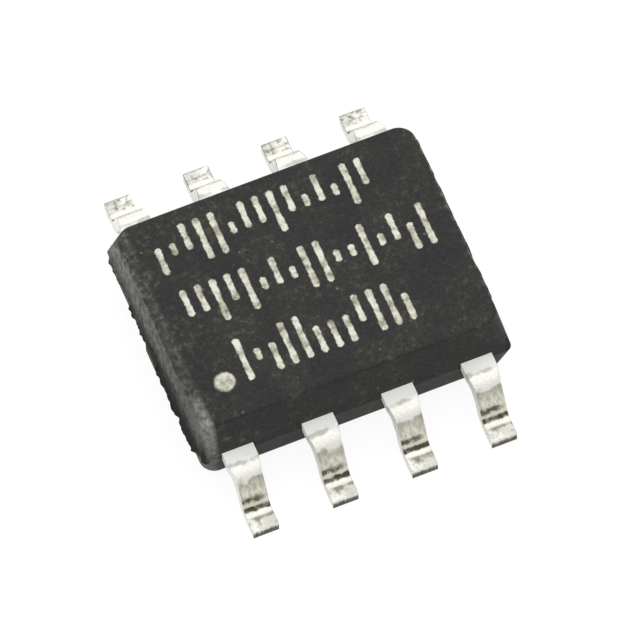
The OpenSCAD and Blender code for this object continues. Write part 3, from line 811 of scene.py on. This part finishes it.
def cutPockets(body):
    shape = bmesh.new()
    inside = ["die_attach", "silicon_die"] + [f"bond_wire_{n}" for n in leadNumbers]
    for mesh in [o.data for o in leads] + [diePaddle.data] + [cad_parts[n].data for n in inside]:
        shape.from_mesh(mesh)
    bmesh.ops.remove_doubles(shape, verts=shape.verts, dist=weldWithin * mm)
    radius, length = moulding["ejectorRadius"] * mm, moulding["ejectorLength"] * mm
    middle = bodyLow.z - moulding["ejectorLength"] / 2 + moulding["ejectorDepth"]
    bmesh.ops.create_cone(shape, cap_ends=True, segments=moulding["ejectorSteps"], radius1=radius,
                          radius2=radius, depth=length, matrix=Matrix.Translation((0, 0, middle * mm)))
    cutter = bpy.data.objects.new("pocketCutter", meshFrom(shape, "pocketCutter"))
    bpy.context.scene.collection.objects.link(cutter)
    pockets = body.modifiers.new("pockets", "BOOLEAN")
    pockets.operation = "DIFFERENCE"
    pockets.solver = "MANIFOLD"
    pockets.object = cutter
    body.modifiers.new("evenNormals", "WEIGHTED_NORMAL")
    settle(body)
    bpy.data.objects.remove(cutter)


bodyMesh = ringsToMesh(mouldingRings(), "epoxyBody")
body = newPiece("epoxyBody", bodyMesh, [epoxy], ["mould_body"])
before = len(body.data.polygons)
cutPockets(body)
print("moulding made,", before, "faces, with pockets", len(body.data.polygons))


# marking: plain bars in three lengths, with the pin-one dot
marking = {
    "rows": [(1.17, 15, -1.88), (0.12, 17, -1.80), (-0.94, 12, -1.38)],  # height in Y, bars, first bar in X
    "apart": 0.235,
    "width": 0.115,
    "height": 0.75,
    "reaches": (0.3, 1.0),  # of half the height, up and down from a row's middle
    "arcSteps": 8,
    "pointsApart": 0.05,
    "roughness": 0.008,
    "middleSwell": 0.85,
    "endSwell": 0.45,
    "coreShare": 0.5,  # of the stroke, which is paler
    "dotPallor": 0.52,  # the dot was burnt less pale than a stroke
    "lifts": (-0.004, 0.001, 0.005),  # mm from the top of the moulding to a stroke's base, rim and crown
    "dotPlace": (-1.776, -1.18),
    "dotRadius": 0.175,
    "dotSteps": 36,
    "dotSpine": 0.6,  # of the radius, the ring from which the dot's core is measured
    "seed": 8,
}


def strokeOutline(x, low, high, draw):
    half = marking["width"] / 2
    arc = [math.radians(180) * k / marking["arcSteps"] for k in range(marking["arcSteps"] + 1)]
    points = [Vector((half * math.cos(a), high - half + half * math.sin(a), 0)) for a in arc]
    sideSteps = max(2, round((high - low) / marking["pointsApart"]))
    run = high - low - 2 * half
    points += [Vector((-half, high - half - run * k / sideSteps, 0)) for k in range(1, sideSteps)]
    points += [Vector((-half * math.cos(a), low + half - half * math.sin(a), 0)) for a in arc]
    points += [Vector((half, low + half + run * k / sideSteps, 0)) for k in range(1, sideSteps)]
    rough, middle = marking["roughness"], (low + high) / 2
    outline = []
    for p in points:
        fromMiddle = abs(p.y - middle) / (high - low)
        swell = marking["middleSwell"] + marking["endSwell"] * fromMiddle  # heavier where the laser dwelt
        stray = Vector((draw.uniform(-rough, rough), draw.uniform(-rough, rough), 0))
        outline.append(Vector((x + p.x * swell, p.y, 0)) + stray)
    spine = [Vector((x, min(max(p.y, low + half), high - half), 0)) for p in points]
    return outline, spine


def addStroke(shape, outline, spine, pallor=1):
    core = shape.verts.layers.float["strokeCore"]
    base, rim, crown = (bodyHigh.z + lift for lift in marking["lifts"])
    inner = [s.lerp(p, marking["coreShare"]) for p, s in zip(outline, spine)]
    rings = []
    for ring, z, share in ((outline, base, 0), (outline, rim, 0), (inner, crown, pallor)):
        rings.append([shape.verts.new((p.x * mm, p.y * mm, z * mm)) for p in ring])
        for vert in rings[-1]:
            vert[core] = share
    for low, high in zip(rings, rings[1:]):
        for i in range(len(low)):
            j = (i + 1) % len(low)
            shape.faces.new((low[i], low[j], high[j], high[i]))
    shape.faces.new(rings[-1])
    shape.faces.new(reversed(rings[0]))


def markingMesh():
    draw = random.Random(marking["seed"])
    shape = bmesh.new()
    shape.verts.layers.float.new("strokeCore")
    for centre, bars, firstX in marking["rows"]:
        for k in range(bars):
            top = centre + marking["height"] / 2 * draw.choice(marking["reaches"])
            bottom = centre - marking["height"] / 2 * draw.choice(marking["reaches"])
            addStroke(shape, *strokeOutline(firstX + k * marking["apart"], bottom, top, draw))
    return meshFrom(shape, "etchedBars")


def dotMesh():
    draw = random.Random(marking["seed"] + 1)
    shape = bmesh.new()
    shape.verts.layers.float.new("strokeCore")
    centre = Vector((*marking["dotPlace"], 0))
    outline = []
    for k in range(marking["dotSteps"]):
        turn = math.radians(360 * k / marking["dotSteps"])
        radius = marking["dotRadius"] + draw.uniform(-1, 1) * marking["roughness"]
        outline.append(centre + radius * Vector((math.cos(turn), math.sin(turn), 0)))
    spine = [centre.lerp(p, marking["dotSpine"]) for p in outline]
    addStroke(shape, outline, spine, marking["dotPallor"])
    return meshFrom(shape, "pinOneDot")


newPiece("etchedBars", markingMesh(), [etched])
newPiece("pinOneDot", dotMesh(), [etched])
print("marking made")


# floor and lights
stage = {
    "floorSize": 600,
    "toEye": (0.15, 0.70),  # share of the board that takes the light, and the level at which it is white
    "inMetal": (0.85, 0.95),  # the same for the board as the metal mirrors it
    "bounce": 0.5,  # share of the light that it throws back on the object
    "softboxes": {  # place, size and watts for each square metre
        "topBox": ((20, 10, 250), (500, 730), 2.75),
        "backBox": ((30, 300, 110), (420, 160), 2.70),
    },
    "worldStrength": 0.515,
}


def addFloor():
    bpy.ops.mesh.primitive_plane_add(size=stage["floorSize"] * mm)
    floor = bpy.context.object
    floor.name = "whiteBoard"
    floor.data.materials.append(whiteBoard(stage["toEye"], stage["inMetal"], stage["bounce"]))


def addSoftbox(name, place, size, level):
    lamp = bpy.data.lights.new(name, "AREA")
    lamp.shape = "RECTANGLE"
    lamp.size, lamp.size_y = size[0] * mm, size[1] * mm
    lamp.energy = level * lamp.size * lamp.size_y
    box = bpy.data.objects.new(name, lamp)
    bpy.context.scene.collection.objects.link(box)
    box.location = Vector(place) * mm
    box.rotation_euler = Vector(place).to_track_quat("Z", "Y").to_euler()


addFloor()
for name, softbox in stage["softboxes"].items():
    addSoftbox(name, *softbox)
world = bpy.data.worlds.new("studio")
bpy.context.scene.world = world
world.use_nodes = True
world.node_tree.nodes["Background"].inputs["Color"].default_value = linearFromHex("#ffffff")
world.node_tree.nodes["Background"].inputs["Strength"].default_value = stage["worldStrength"]
bpy.context.scene.view_settings.view_transform = "Standard"
print("stage lit")
